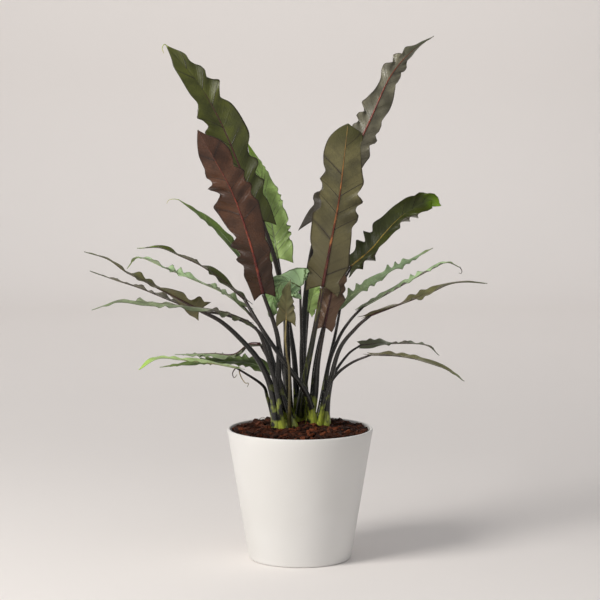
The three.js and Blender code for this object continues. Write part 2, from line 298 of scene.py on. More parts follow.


# %% [markdown]
# ## The leaves, one by one
#
# Each leaf is written down one by one: the points that its stalk passes, the points of its midrib, and what
# sets it apart from its neighbours. Points are millimetres from the centre of the pot's rim. `roll` turns
# the blade about its midrib, in degrees, from its base to its tip. `fold` is how steeply the halves rise
# from the midrib, and `curl` how much each then bends over. `depth`, `ruffle` and `pleat` are the lobes,
# waves and folds between the veins, as shares of the width. `hook` adds points for a tip that turns down,
# and `rib_size` is the midrib's share of the stalk's radius.

# %% The leaf table
ARCHING = (0, -0.1, 1)
LEAVES = {}


def leaf(name, crown, slot, stalk, blade, radius, half, lobe, face=ARCHING, **looks):
    """Writes a leaf down. looks are values of its own, over the usual ones."""
    usual = dict(
        base=0.62, widest=0.3, blunt=3, roll=(0, 0), fold=0.26, curl=(0, 0), depth=0.4, ruffle=0.2,
        uneven=0.6, rounded=0.7, pleat=0.05, pitch=27, slant=1.0, hook=(), top=None, under=None,
        rib="brown", rib_size=0.5, vein="dusky", stalk_slot="stalk_dark",
    )
    usual.update(looks)
    usual.update(
        name=name, crown=crown, slot=slot, stalk=stalk, blade=blade, radius=radius * MM,
        half=half * MM, lobe=lobe * MM, face=face,
    )
    LEAVES[name] = usual


leaf("light_left", "left", "blade_pale_green",
     [(-20, -5, 45), (-35, 0, 88), (-48, 9, 127)],
     [(-76, 22, 160), (-104, 26, 179), (-140, 32, 194), (-180, 36, 210), (-215, 37, 224), (-231, 37, 209)],
     3, 8.5, 14, blunt=5, roll=(-30, 10, -10, 10, 30), ruffle=0.3, uneven=1.0, pitch=19, rib="pale",
     vein="pale")
leaf("arched_left", "left", "blade_bright_green",
     [(-23, 5, 40), (-37, 11, 80)],
     [(-53, 16, 110), (-68, 22, 109), (-88, 32, 94), (-119, 48, 93), (-170, 76, 88)],
     2.8, 10, 10, base=0.25, widest=0.55, fold=-0.35, ruffle=0.35, pitch=18, top="arch_mint",
     under="arch_mint", rib="maroon", rib_size=0.95)
leaf("thin_left", "left", "blade_dark_green",
     [(-31, -9, 56), (-40, -10, 104), (-50, -12, 125), (-68, -14, 141), (-99, -16, 153)],
     [(-135, -20, 159), (-174, -26, 175), (-209, -31, 190), (-241, -35, 201), (-274, -38, 213)],
     2.8, 9, 10, roll=(30, 0, 20, -10), depth=0.45, ruffle=0.26, pitch=22, top="grey_green")
leaf("fan_left", "left", "blade_bright_green",
     [(-43, -16, 43), (-50, -28, 62)],
     [(-83, -60, 89), (-114, -76, 97), (-145, -92, 103), (-182, -112, 108), (-205, -124, 95)],
     2.2, 10, 10, blunt=6, fold=0.1, depth=0.12, ruffle=0.1, rib="tan", vein="tan")
leaf("long_left", "left", "blade_dark_green",
     [(-37, -24, 53), (-52, -32, 91), (-72, -41, 118), (-101, -52, 147)],
     [(-130, -60, 164), (-159, -67, 181), (-193, -75, 200), (-223, -82, 216), (-246, -88, 233),
      (-276, -92, 243)],
     4.4, 9, 8, base=1.8, roll=(75, 25, -20, 10, 0), ruffle=0.26, uneven=1.0, top="tan_olive",
     under="tan_olive")
leaf("low_left", "left", "blade_pale_green",
     [(-30, -36, 54), (-42, -48, 101), (-53, -58, 134)],
     [(-69, -64, 151), (-100, -84, 165), (-146, -108, 175), (-196, -128, 182), (-227, -142, 185),
      (-261, -155, 175)],
     3.2, 9.5, 16, roll=(-20, 15, -15, 0), fold=-0.3, depth=0.5, ruffle=0.36, uneven=1.2, pitch=26,
     top="mint_grey", under="grey_green")
leaf("front_small", "left", "blade_olive",
     [(-14, -45, 79), (-17, -48, 102), (-19, -50, 126)],
     [(-18, -52, 151), (-18, -56, 171), (-16, -62, 192), (-12, -68, 205)],
     1.9, 13, 9, (0, -1, 0.3), base=1.0, blunt=1.5, depth=0.24, uneven=1.0, pitch=15, top="tan_olive",
     rib="tan", vein="tan", stalk_slot="stalk_tan")
leaf("purple_left", "left", "blade_purple",
     [(-27, -24, 60), (-29, -32, 124)],
     [(-48, -42, 184), (-65, -55, 253), (-86, -68, 315), (-109, -80, 360), (-130, -92, 398)],
     4.2, 25, 9, (0.1, 1, 0.3), base=0.6, widest=0.5, blunt=7, fold=0.2, depth=0.34, ruffle=0.13,
     uneven=0.9, rounded=0.9, pleat=0.06, pitch=36, slant=0.6, rib="red")

leaf("mid_right", "right", "blade_dark_green",
     [(36, 4, 72), (50, 6, 116), (66, 8, 142)],
     [(84, 10, 161), (115, 12, 178), (147, 14, 196), (174, 17, 210), (195, 19, 219), (213, 20, 212)],
     3, 9, 12, base=0.4, depth=0.5, uneven=1.0, pitch=18, top="pale_green")
leaf("low_right", "right", "blade_dark_green",
     [(42, 20, 60), (63, 42, 91)],
     [(82, 60, 103), (116, 85, 102), (171, 120, 96), (193, 135, 79)],
     2.4, 8.5, 6, base=0.6, roll=(55, -10, 10), depth=0.35, uneven=0.9, top="mint_grey")
leaf("light_right", "right", "blade_pale_green",
     [(36, 34, 70), (48, 56, 120)],
     [(55, 68, 156), (77, 84, 173), (116, 108, 195), (154, 132, 213), (184, 150, 227)],
     3, 8.5, 12, (0, -0.5, 1), fold=0.15, depth=0.28, ruffle=0.4, uneven=1.1, pitch=21, rib="pale",
     vein="pale")
leaf("curled_right", "right", "blade_dark_green",
     [(22, 34, 86), (42, 48, 160)],
     [(69, 58, 210), (96, 68, 232), (116, 76, 255), (138, 86, 276), (160, 93, 289), (178, 97, 297),
      (192, 102, 289)],
     3.8, 19, 16, (-0.5, -0.8, 0.5), base=0.8, blunt=12, roll=(0, 0, 0, 25, 50), curl=(0.1, 1.1),
     depth=0.42, ruffle=0.36, uneven=0.9, pleat=0.02, pitch=26, rib="yellow")
leaf("folded_centre", "right", "blade_purple",
     [(20, -4, 45), (24, -6, 90)],
     [(32, -10, 136), (41, -6, 178), (50, 0, 222), (57, 8, 257)],
     4, 19, 5, (0.2, 1, 0), fold=0.6, depth=0.24, ruffle=0.16, pitch=20, under="rust", rib="maroon")
leaf("dark_left", "right", "blade_dark_green",
     [(16, -14, 24), (6, -24, 54), (-14, -36, 84), (-26, -41, 102), (-49, -27, 134)],
     [(-74, -8, 174), (-99, -2, 194), (-128, 4, 215), (-159, 8, 229), (-185, 12, 239), (-216, 16, 238)],
     3.8, 8.5, 14, roll=(20, -15, 20, 0, 0), ruffle=0.3, uneven=1.0)
leaf("low_right_front", "right", "blade_dark_green",
     [(35, -23, 51), (47, -32, 75), (68, -48, 94)],
     [(93, -60, 106), (129, -82, 107), (166, -108, 102), (191, -124, 93), (208, -135, 82)],
     2.4, 9, 10, depth=0.3, ruffle=0.18, uneven=0.9, top="tan_olive")
leaf("long_right", "right", "blade_dark_green",
     [(38, -13, 51), (51, -28, 107), (73, -38, 138)],
     [(92, -45, 156), (127, -58, 171), (165, -72, 187), (190, -84, 200), (211, -92, 204), (239, -100, 203)],
     3.6, 11, 16, roll=(-20, 0, 25, -10, 0), ruffle=0.25, uneven=0.9, top="tan_olive", under="tan_olive",
     rib="maroon")

leaf("big_right", "back", "blade_underside",
     [(6, 0, 61), (17, -12, 120)],
     [(30, -25, 192), (40, -32, 247), (51, -38, 307), (58, -44, 368), (62, -50, 405)],
     4.6, 26.5, 12, (0.2, 1, 0.2), base=0.84, widest=0.4, blunt=17, fold=0.14, depth=0.32, ruffle=0.12,
     uneven=0.8, rounded=0.9, pleat=0.03, pitch=36, slant=0.8, rib="orange", stalk_slot="stalk_mottled")
leaf("pale_centre", "back", "blade_pale_green",
     [(4, 12, 60), (2, 2, 120)],
     [(0, -10, 189), (-13, -16, 196), (-25, -20, 195), (-33, -22, 179)],
     2.6, 16, 6, (0, -1, 0.4), base=1.0, blunt=4, depth=0.55, ruffle=0.9, uneven=1.0, pleat=0.3, pitch=14,
     hook=[(-37, -20, 163), (-36, -18, 148)], top="pale_gloss_painted_light", rib="pale", vein="pale")
leaf("tall_right", "back", "blade_underside",
     [(4, 22, 80), (5, 22, 133), (9, 26, 187), (17, 31, 238)],
     [(29, 33, 278), (49, 40, 318), (89, 50, 397), (120, 62, 463), (150, 76, 498), (180, 90, 518)],
     5, 18, 30, (0.3, 1, 0.4), base=1.2, widest=0.5, blunt=4, roll=(0, 0, 0, 10, 65), depth=0.3, uneven=1.0,
     rounded=0.9, pleat=0.02, pitch=31, under="grey_green", rib="red")
leaf("light_centre", "back", "blade_pale_green",
     [(6, 38, 80)],
     [(11, 44, 150), (18, 48, 178), (26, 54, 205)],
     2.6, 11, 6, (0.2, -1, 0.3), depth=0.3, ruffle=0.3, pitch=12, top="bright_green", rib="pale",
     vein="pale")
leaf("green_left", "back", "blade_bright_green",
     [(-7, 42, 80), (-14, 42, 130), (-22, 40, 170)],
     [(-30, 43, 222), (-37, 50, 262), (-46, 58, 307), (-70, 68, 375)],
     4, 24, 10, (0.2, -1, 0.2), base=0.85, blunt=2.2, fold=0.4, depth=0.2, ruffle=0.1, rounded=1.4,
     pleat=0.02, pitch=13, rib="pale", vein="pale")
leaf("narrow_left", "back", "blade_bright_green",
     [(-20, 36, 60), (-31, 42, 120)],
     [(-51, 50, 187), (-100, 66, 248), (-137, 82, 279), (-165, 92, 298)],
     3.2, 9, 10, (0.4, -0.6, 0.7), depth=0.2, ruffle=0.15, top="leaf_green", rib="pale", vein="pale")
leaf("tall_left", "back", "blade_olive",
     [(-17, 23, 80), (-20, 22, 160), (-34, 22, 225)],
     [(-50, 24, 273), (-68, 30, 313), (-94, 42, 378), (-115, 52, 421), (-139, 60, 459), (-179, 70, 506)],
     5, 25, 12, (0.3, -1, 0.3), widest=0.55, blunt=5, fold=0.16, depth=0.28, ruffle=0.12, uneven=0.8,
     rounded=0.9, pleat=0.045, pitch=46, rib="maroon")
leaf("low_back_left", "back", "blade_dark_green",
     [(-26, 14, 32)],
     [(-38, 32, 70), (-67, 40, 81), (-98, 50, 82), (-135, 62, 79), (-191, 80, 70)],
     2.4, 13, 8, (0, -0.6, 1), base=0.8, blunt=1.6, depth=0.25, pitch=17, top="leaf_green", rib="pale",
     vein="pale")
print(len(LEAVES), "leaves")

# %% [markdown]
# ## What a leaf's skin looks like
#
# A blade isn't one green. It is lighter and darker in soft patches. This is partly its own tone and partly
# painted sheen and shade, because the lighter patches are also the glossier ones. Its side veins and the
# finer veins between them show as lines. Bands of the vein colour along the side veins and beside the
# midrib are partly the veins' own colour. Where that colour is darker than the blade, they are also painted
# shade in the dip along them. Its margin is thin and dark, and its tip is often younger and brighter. All
# blades share one node group for that, and each material gives it colours of its own.


# %% The blade group
def leaf_skin_group():
    net, given, result = new_group("leaf_skin", "Blade Foot Tip Vein Edge", "Lines Matt")
    skin = net.add("ShaderNodeAttribute", attribute_name="skin").outputs["Vector"]
    across, count, share = net.add("ShaderNodeSeparateXYZ", {0: skin}).outputs
    out = net.maths("ABSOLUTE", across)
    place = net.place()
    patches, grain = net.noise(place, 38.0, 3.0), net.noise(place, 420.0, 4.0)
    cells = net.add(
        "ShaderNodeTexVoronoi", {"Vector": place, "Scale": 330.0}, feature="DISTANCE_TO_EDGE"
    ).outputs[0]

    def lines(per_vein, low):
        """1 along lines that run with the side veins, that many to each, and 0 between them."""
        part = net.maths("FRACT", net.maths("MULTIPLY", count, per_vein))
        near = net.maths("MULTIPLY", net.maths("ABSOLUTE", net.maths("SUBTRACT", part, 0.5)), 2.0)
        return net.spread(near, low, 1.0)

    vein_and_shade_lines, fine_veins = lines(1.0, 0.9), lines(6.0, 0.7)
    # Painted sheen and shade over the blade's own patchy tone: the lighter patches are also the glossier
    # ones, through the roughness below.
    bright = net.spread(patches, 0.3, 0.7, 0.6, 1.38)
    bright = net.maths("MULTIPLY", bright, net.spread(grain, 0.3, 0.7, 0.9, 1.1))
    colour = net.mix(1.0, given["Blade"], bright, "MULTIPLY")
    colour = net.mix(net.spread(share, 0.05, 0.6, 0.85, 0.0), colour, given["Foot"])
    colour = net.mix(net.spread(share, 0.8, 1.0), colour, given["Tip"])
    fine = net.maths("MULTIPLY", fine_veins, net.maths("MULTIPLY", given["Lines"], 0.3))
    colour = net.mix(fine, colour, given["Vein"])
    # Bands along the side veins take the veins' own colour. Where the vein colour is darker than the blade,
    # they are also painted shade in the dip along each vein.
    colour = net.mix(net.maths("MULTIPLY", vein_and_shade_lines, given["Lines"]), colour, given["Vein"])
    # The band beside the midrib is its own colour. Where that is darker than the blade, it is also painted
    # shade in the dip along it.
    colour = net.mix(net.spread(out, 0.0, 0.07, 0.55, 0.0), colour, given["Vein"])
    colour = net.mix(net.spread(out, 0.93, 1.0, 0.0, 0.85), colour, given["Edge"])
    rough = net.maths("ADD", net.spread(patches, 0.3, 0.7, 0.4, 0.2), given["Matt"])
    height = net.maths("ADD", net.spread(cells, 0.0, 0.25, 0.0, 0.5), net.maths("MULTIPLY", grain, 0.4))
    height = net.maths("ADD", height, net.maths("MULTIPLY", fine_veins, 0.6))
    net.link((colour, rough, height), result)
    return net.tree


LEAF_SKIN = leaf_skin_group()


def leaf_material(name, blade, foot, tip, vein, edge, matt=0.06, lines=0.5):
    """matt is added to the roughness, and lines is how strongly the veins show."""
    colours = {"Blade": blade, "Foot": foot, "Tip": tip, "Vein": vein, "Edge": edge}
    values = {"Lines": lines, "Matt": matt}
    material, shader = skinned(name, LEAF_SKIN, colours, values, 0.35, 0.6 * MM)
    shader["Specular IOR Level"].default_value = 0.36
    return material


# %% [markdown]
# ### The colours of the blades
#
# This alocasia shows dark green or olive above and purple-brown or grey below, and its youngest
# leaves are pale. A material is made for each of those sides, and a leaf picks one for its upper
# and one for its lower face. The five colours are those of the blade, of its foot near the stalk,
# of its tip, of its veins and of its margin. A number after them makes it duller or, below nought,
# glossier, and a second one makes its veins show more.

# %% Blade materials
COLOURS = {
    "olive": [(0.06, 0.067, 0.011), (0.038, 0.045, 0.008), (0.066, 0.074, 0.013), (0.03, 0.03, 0.012),
        (0.02, 0.014, 0.008), 0.1],
    "plum": [(0.12, 0.07, 0.06), (0.06, 0.03, 0.025), (0.12, 0.07, 0.06), (0.05, 0.02, 0.02),
        (0.03, 0.012, 0.012)],
    "purple": [(0.072, 0.030, 0.015), (0.026, 0.011, 0.004), (0.060, 0.024, 0.012), (0.02, 0.008, 0.005),
        (0.014, 0.006, 0.004), -0.02],
    "brown_olive": [(0.092, 0.082, 0.033), (0.092, 0.078, 0.036), (0.052, 0.052, 0.010),
        (0.018, 0.012, 0.006), (0.02, 0.012, 0.006), 0.14],
    "rust": [(0.16, 0.095, 0.055), (0.13, 0.075, 0.045), (0.10, 0.055, 0.034), (0.05, 0.02, 0.014),
        (0.03, 0.012, 0.008)],
    "grey_green": [(0.155, 0.145, 0.098), (0.034, 0.026, 0.017), (0.13, 0.16, 0.085), (0.06, 0.055, 0.03),
        (0.03, 0.025, 0.015)],
    "dark_green": [(0.048, 0.058, 0.010), (0.038, 0.044, 0.010), (0.27, 0.46, 0.03), (0.07, 0.08, 0.025),
        (0.015, 0.014, 0.006)],
    "tan_olive": [(0.105, 0.105, 0.038), (0.10, 0.088, 0.036), (0.17, 0.21, 0.10), (0.14, 0.11, 0.04),
        (0.04, 0.03, 0.014)],
    "leaf_green": [(0.085, 0.13, 0.03), (0.06, 0.09, 0.02), (0.16, 0.22, 0.05), (0.2, 0.26, 0.1),
        (0.04, 0.05, 0.014)],
    # The bright green is lighter than these leaves' own colour. It is raised as painted light, to make up
    # for the shade they stand in and the light that shines through them.
    "bright_green": [(0.46, 0.66, 0.2), (0.40, 0.56, 0.18), (0.38, 0.62, 0.05), (0.24, 0.36, 0.13),
        (0.05, 0.09, 0.02)],
    "arch_mint": [(0.24, 0.31, 0.16), (0.022, 0.010, 0.007), (0.26, 0.36, 0.18), (0.16, 0.20, 0.1),
        (0.03, 0.03, 0.014)],
    "mint_grey": [(0.22, 0.27, 0.15), (0.07, 0.07, 0.034), (0.24, 0.32, 0.16), (0.12, 0.12, 0.06),
        (0.04, 0.04, 0.02)],
    "pale_green": [(0.40, 0.56, 0.29), (0.14, 0.17, 0.075), (0.30, 0.36, 0.12), (0.42, 0.52, 0.32),
        (0.08, 0.11, 0.05)],
    # The glossy pale blade: its whitish foot is a painted highlight. Its nearly black tip is painted shade
    # where it hangs down behind the small front leaf. Its strong dark vein lines are painted shade in its
    # creases.
    "pale_gloss_painted_light": [(0.46, 0.68, 0.3), (0.55, 0.76, 0.44), (0.03, 0.042, 0.012), (0.06, 0.11, 0.02),
        (0.05, 0.09, 0.02), -0.14, 1.0],
    "pale_under": [(0.24, 0.31, 0.17), (0.12, 0.13, 0.07), (0.30, 0.36, 0.12), (0.36, 0.42, 0.26),
        (0.08, 0.10, 0.05)],
}
BLADES = {name: leaf_material(name, *colours) for name, colours in COLOURS.items()}
SIDES = {
    "blade_olive": ("olive", "plum"),
    "blade_purple": ("dark_green", "purple"),
    "blade_underside": ("dark_green", "brown_olive"),
    "blade_dark_green": ("dark_green", "grey_green"),
    "blade_bright_green": ("bright_green", "bright_green"),
    "blade_pale_green": ("pale_green", "pale_under"),
}
print(len(BLADES), "blade materials")

# %% [markdown]
# ### Stalks and ribs
#
# A stalk is smooth and nearly black, with a satin sheen, fine streaks along it, and a foot that turns
# yellow-green where it leaves the crown. The streaks are partly the stalk's own mottling and partly painted
# sheen: the lighter streaks are also the glossier ones. A midrib is the same kind of rod: it changes from
# one colour at the blade's base to another at its tip. One group serves both.


# %% The rod group
def rod_skin_group():
    net, given, result = new_group("rod_skin", "Start Middle End Fleck", "Foot Flecks")
    skin = net.add("ShaderNodeAttribute", attribute_name="skin").outputs["Vector"]
    distance, share = net.add("ShaderNodeSeparateXYZ", {0: skin}).outputs[1:3]
    long_way = net.place(1.0, 1.0, 0.18)
    streaks, spots = net.noise(long_way, 520.0, 3.0), net.noise(long_way, 260.0, 2.0)
    blotches = net.noise(net.place(), 60.0, 2.0)
    edge = net.maths("MULTIPLY", given["Foot"], net.spread(blotches, 0.36, 0.68, 0.15, 1.6))
    far = net.maths("DIVIDE", distance, edge)
    colour = net.mix(net.spread(far, 0.1, 1.5), given["Start"], given["Middle"])
    colour = net.mix(net.spread(share, 0.55, 1.0), colour, given["End"])
    fleck = net.maths("MULTIPLY", net.spread(spots, 0.5, 0.62), given["Flecks"])
    colour = net.mix(fleck, colour, given["Fleck"])
    # Streaks that are partly the stalk's own mottling and partly painted sheen: the lighter ones are also
    # the glossier ones.
    colour = net.mix(1.0, colour, net.spread(streaks, 0.3, 0.7, 0.6, 1.5), "MULTIPLY")
    net.link((colour, net.spread(streaks, 0.3, 0.7, 0.34, 0.18), streaks), result)
    return net.tree


ROD_SKIN = rod_skin_group()


def rod_material(name, start, middle, end, foot=0.04, flecks=0.0, fleck=(0.2, 0.2, 0.1)):
    """start is the colour up to a distance foot from where the rod begins, in metres."""
    colours = {"Start": start, "Middle": middle, "End": end, "Fleck": fleck}
    return skinned(name, ROD_SKIN, colours, {"Foot": foot, "Flecks": flecks}, 0.25, 0.4 * MM)[0]


# %% Stalk and rib materials
LIME = (0.31, 0.36, 0.05)
BLACK = (0.0095, 0.0092, 0.0078)
STALKS = {
    "stalk_dark": rod_material("stalk_dark", LIME, BLACK, (0.022, 0.014, 0.011), 0.032),
    "stalk_mottled": rod_material(
        "stalk_mottled", LIME, (0.009, 0.011, 0.004), (0.04, 0.016, 0.012), 0.022, 0.7,
        (0.075, 0.085, 0.014)),
    "stalk_tan": rod_material(
        "stalk_tan", (0.035, 0.035, 0.01), (0.075, 0.06, 0.022), (0.22, 0.17, 0.06), 0.05),
}
RIB_COLOURS = {
    "maroon": ((0.045, 0.010, 0.008), (0.060, 0.018, 0.014), (0.06, 0.055, 0.02), 0.12),
    "red": ((0.085, 0.008, 0.006), (0.20, 0.038, 0.018), (0.10, 0.040, 0.022), 0.13),
    "orange": ((0.055, 0.008, 0.006), (0.25, 0.090, 0.026), (0.25, 0.17, 0.05), 0.14),
    "yellow": ((0.12, 0.07, 0.016), (0.34, 0.23, 0.04), (0.28, 0.26, 0.05), 0.03),
    "pale": ((0.16, 0.20, 0.08), (0.34, 0.43, 0.22), (0.34, 0.46, 0.18), 0.05),
    "tan": ((0.26, 0.19, 0.07), (0.24, 0.18, 0.06), (0.17, 0.15, 0.05), 0.03),
    "brown": ((0.035, 0.014, 0.010), (0.06, 0.035, 0.02), (0.13, 0.14, 0.06), 0.06),
    "dusky": ((0.014, 0.008, 0.005), (0.018, 0.011, 0.006), (0.02, 0.014, 0.008), 0.05),
    "lime": ((0.30, 0.38, 0.08), (0.42, 0.44, 0.09), (0.50, 0.44, 0.09), 0.02),
}
RIBS = {name: rod_material("rib_" + name, *colours) for name, colours in RIB_COLOURS.items()}
print(len(STALKS), "stalk and", len(RIBS), "rib materials")

# %% [markdown]
# ## The shape of a blade
#
# A blade starts as a flat grid, and a few formulas bend it. Its outline swells from the base and
# closes at the tip. Side veins leave the midrib at a slant, and counting them gives a number that
# is whole on each vein: its cosine makes a lobe at each vein's end, a wave in the margin, and a
# shallow fold in between, so that all three keep in step, as they do in a real leaf.

# %% How the side veins are spaced
for name, it in LEAVES.items():
    chance = random.Random(name)
    it["line"] = Line(in_pot([*it["blade"], *it["hook"]]))
    it["veins"] = max(3, round(it["line"].length / (it["pitch"] * MM)))
    it["shift"] = (chance.random(), chance.random())
    it["stray"] = (chance.random() * 6.3, chance.random() * 6.3)
    spread = it["uneven"]
    it["strength"] = [[1 + chance.uniform(-spread, spread) for _ in range(it["veins"] + 5)] for _ in "lr"]
VEIN_STRAY = 0.42
TIP_HALF_WIDTH = 0.6 * MM
LOBE_REACH = 0.4
LOBE_LEAN = 0.08
RAGGED = 0.07
RUFFLE_LAG = 0.9


def count_veins(it, share, right):
    """How many side veins leave the midrib before a share of its length, on its right or left side."""
    stray = np.sin(2 * math.pi * 0.31 * it["veins"] * share + np.where(right, *it["stray"]))
    return it["veins"] * share + VEIN_STRAY * stray + np.where(right, *it["shift"])


def slant_of(it):
    """How far towards the tip a side vein runs before it meets the margin, as a share of the length."""
    return it["slant"] * it["half"] / it["line"].length


def half_width(it, share):
    swell = np.sin(math.pi / 2 * np.minimum(share / it["widest"], 1))
    swell = it["base"] + (1 - it["base"]) * swell
    return np.maximum(it["half"] * swell * (1 - share ** it["blunt"]), TIP_HALF_WIDTH)


def strength_of(it, count, right):
    """How strong the waves of a margin are, which differs from one side vein to the next."""
    left_run, right_run = it["strength"]
    places = np.arange(len(left_run)) - 1.0
    return np.where(right, np.interp(count, places, right_run), np.interp(count, places, left_run))


def roll_of(it, share):
    """The turn of a blade about its midrib, eased from one of its roll angles to the next, in radians."""
    angles = np.radians(it["roll"])
    place = np.clip(share, 0, 1) * (len(angles) - 1)
    step = np.minimum(place.astype(int), len(angles) - 2)
    part = place - step
    part = part * part * (3 - 2 * part)
    return angles[step] * (1 - part) + angles[step + 1] * part


def blade_points(it, across, share, lift=0.0):
    """Points of a blade: across is -1 to 1, share 0 to 1, and lift the height off its middle."""
    out = np.abs(across)
    side = np.where(across < 0, -1.0, 1.0)
    count = count_veins(it, share - slant_of(it) * out, across > 0)
    wave = np.cos(2 * math.pi * count)
    fade = np.clip(share / 0.1, 0, 1) * np.clip((1 - share) / 0.06, 0, 1)
    strength = strength_of(it, count, across > 0)
    scallop = ((1 + wave) / 2) ** it["rounded"] - 0.5 + RAGGED * np.cos(17.0 * count + it["stray"][1])
    lobe = it["depth"] * strength * scallop * out**3 * fade
    half = half_width(it, share)
    ruffle = it["ruffle"] * out**2.4 * strength * np.cos(2 * math.pi * count + RUFFLE_LAG)
    ruffle = ruffle * (0.3 + 0.7 * fade)
    pleat = it["pleat"] * wave * 4 * out * (1 - out)
    slope = math.atan(it["fold"])
    curl = it["curl"][0] + (it["curl"][1] - it["curl"][0]) * share + 1e-6
    turn = slope + curl * out
    sideward = side * half * (1 + lobe) * (np.sin(turn) - math.sin(slope)) / curl
    upward = half * ((math.cos(slope) - np.cos(turn)) / curl + ruffle + pleat)
    swept = it["lobe"] * out**1.3 * np.maximum(0, 1 - share / LOBE_REACH) ** 2
    point, along = it["line"].at(it["line"].length * share - swept + LOBE_LEAN * half * lobe)
    up, over = sideways(along, it["face"])
    roll = roll_of(it, share)[:, None]
    up, over = up * np.cos(roll) + over * np.sin(roll), over * np.cos(roll) - up * np.sin(roll)
    sideward = sideward - side * np.sin(turn) * lift
    upward = upward + np.cos(turn) * lift
    return point + over * sideward[:, None] + up * upward[:, None]


# %% [markdown]
# ## From grid to leaf
#
# The grid is extruded once, so that it has an upper and a lower skin with a wall between them, and
# each skin takes a material of its own. A blade is thickest at its midrib and thins towards its
# margin. The midrib and side veins are rods that stand a little proud of both skins, because light
# catches them there.

# %% Build a blade
BLADE_COLUMNS = 26
ROW_PITCH = 2.4 * MM
RIB_SIDES = 8
VEIN_SIDES = 6
VEIN_ROWS = 9


def blade_skin(it):
    rows = max(30, round(it["line"].length / ROW_PITCH))
    bm = bmesh.new()
    bmesh.ops.create_grid(bm, x_segments=BLADE_COLUMNS, y_segments=rows, size=0.5)
    lower = bm.faces[:]
    made = bmesh.ops.extrude_face_region(bm, geom=lower, use_keep_orig=True)["geom"]
    upper = {v for v in made if isinstance(v, bmesh.types.BMVert)}
    corners = np.array([v.co for v in bm.verts])
    across, share = 2 * corners[:, 0], corners[:, 1] + 0.5
    thick = (0.9 - 0.5 * np.abs(across)) * MM
    lift = np.array([0.5 if v in upper else -0.5 for v in bm.verts]) * thick
    skin = bm.verts.layers.float_vector.new("skin")
    count = count_veins(it, share - slant_of(it) * np.abs(across), across > 0)
    for v, co, *values in zip(bm.verts, blade_points(it, across, share, lift), across, count, share):
        v.co = co
        v[skin] = values
    for face in lower:
        face.material_index = 1
    bmesh.ops.recalc_face_normals(bm, faces=bm.faces)
    return bm


def midrib(it):
    share = np.linspace(0, 1, 60)
    line = Line(blade_points(it, 0 * share, share, -0.3 * MM)[::2])
    thick, thin = it["rib_size"] * it["radius"], 0.45 * MM
    return rolled_rod(
        line, lambda part: thick + (thin - thick) * np.minimum(part * 1.1, 1) ** 0.8, RIB_SIDES,
        max(20, round(it["line"].length / (4 * MM))), material=2,
    )


def side_vein(it, number, right):
    """The rod of one side vein, from the midrib to the margin, or None where it would miss the blade."""
    table = np.linspace(0, 1, 400)
    start = np.interp(number, count_veins(it, table, right), table)
    out = np.linspace(0.02, 0.94, VEIN_ROWS)
    share = start + slant_of(it) * out
    if start <= 0.01 or share[-1] > 0.93:
        return None
    line = Line(blade_points(it, out if right else -out, share))
    thick = 0.02 * it["half"] + 0.15 * MM
    return rolled_rod(
        line, lambda part: thick * (1 - 0.6 * part), VEIN_SIDES, VEIN_ROWS, (0.1, 0.3, 1), material=3)


def blade_piece(it):
    bm = blade_skin(it)
    join_into(bm, midrib(it))
    for right in (False, True):
        for number in range(1, it["veins"] + 2):
            vein = side_vein(it, number, right)
            if vein:
                join_into(bm, vein)
    top, under = SIDES[it["slot"]]
    names = (it["top"] or top, it["under"] or under)
    materials = [BLADES[names[0]], BLADES[names[1]], RIBS[it["rib"]], RIBS[it["vein"]]]
    return object_from(bm, it["name"] + "_blade", materials)


for name, it in LEAVES.items():
    finished(blade_piece(it), it["slot"], "blade_" + name)
print("blades made")

# %% [markdown]
# ## Tendrils
#
# The thread-like end of a leaf's tip outlives the rest of the tip, and dries to a yellow hook. A few
# dried threads also hang from the lowest leaves. Each is a rod through its own points.

# %% Tendrils at the tips, and dried threads
TENDRILS = {
    "tall_left_tip": ("lime", 0.75, [(-176, 69.5, 503), (-181, 69, 507), (-184, 68, 502), (-182, 67, 495)]),
    "narrow_left_tip": ("lime", 0.55, [(-163, 91.5, 297), (-170, 93, 298.5), (-178, 94, 297),
        (-181, 94, 292)]),
    "mid_right_tip": ("brown", 0.7, [(212, 20, 213), (215, 20, 208), (214, 20, 204), (211, 20, 205)]),
    "low_thread": ("tan", 0.9, [(-80, -50, 89), (-78, -50, 78), (-72, -51, 68), (-67, -50, 67),
        (-69, -49, 62)]),
    "low_curl": ("brown", 0.9, [(-84, -49, 87), (-88, -48, 80), (-86, -48, 74), (-82, -48, 78)]),
}
for name, (skin_name, radius, points) in TENDRILS.items():
    rod = rolled_rod(Line(in_pot(points)), lambda part: radius * MM * (1 - 0.6 * part), 7, 22)
    finished(object_from(rod, name, [RIBS[skin_name]]), "stalk_tan")
print(len(TENDRILS), "tendrils")

# %% [markdown]
# ## Stalks
#
# A stalk leaves its crown as a broad sheath, thins quickly, and then tapers gently to the blade.
# Eight stalks stand in a ring on each crown, and the ring's order is that of the leaf table.

# %% Build the stalks
CROWNS = {"left": (-20, -14, 30), "right": (24, 0, 5), "back": (-3, 24, -90)}
STALK_RING = 12
STALK_FOOT = 1
STALK_TAPER = 0.54
SHEATH_LENGTH = 16 * MM
SWELL_LENGTH = 70 * MM
STALK_SIDES = 16

for crown, (x, y, first_at) in CROWNS.items():
    ring = [it for it in LEAVES.values() if it["crown"] == crown]
    for i, it in enumerate(ring):
        turn = math.radians(first_at + 360 * i / len(ring))
        it["foot"] = (x + STALK_RING * math.cos(turn), y + STALK_RING * math.sin(turn), STALK_FOOT)


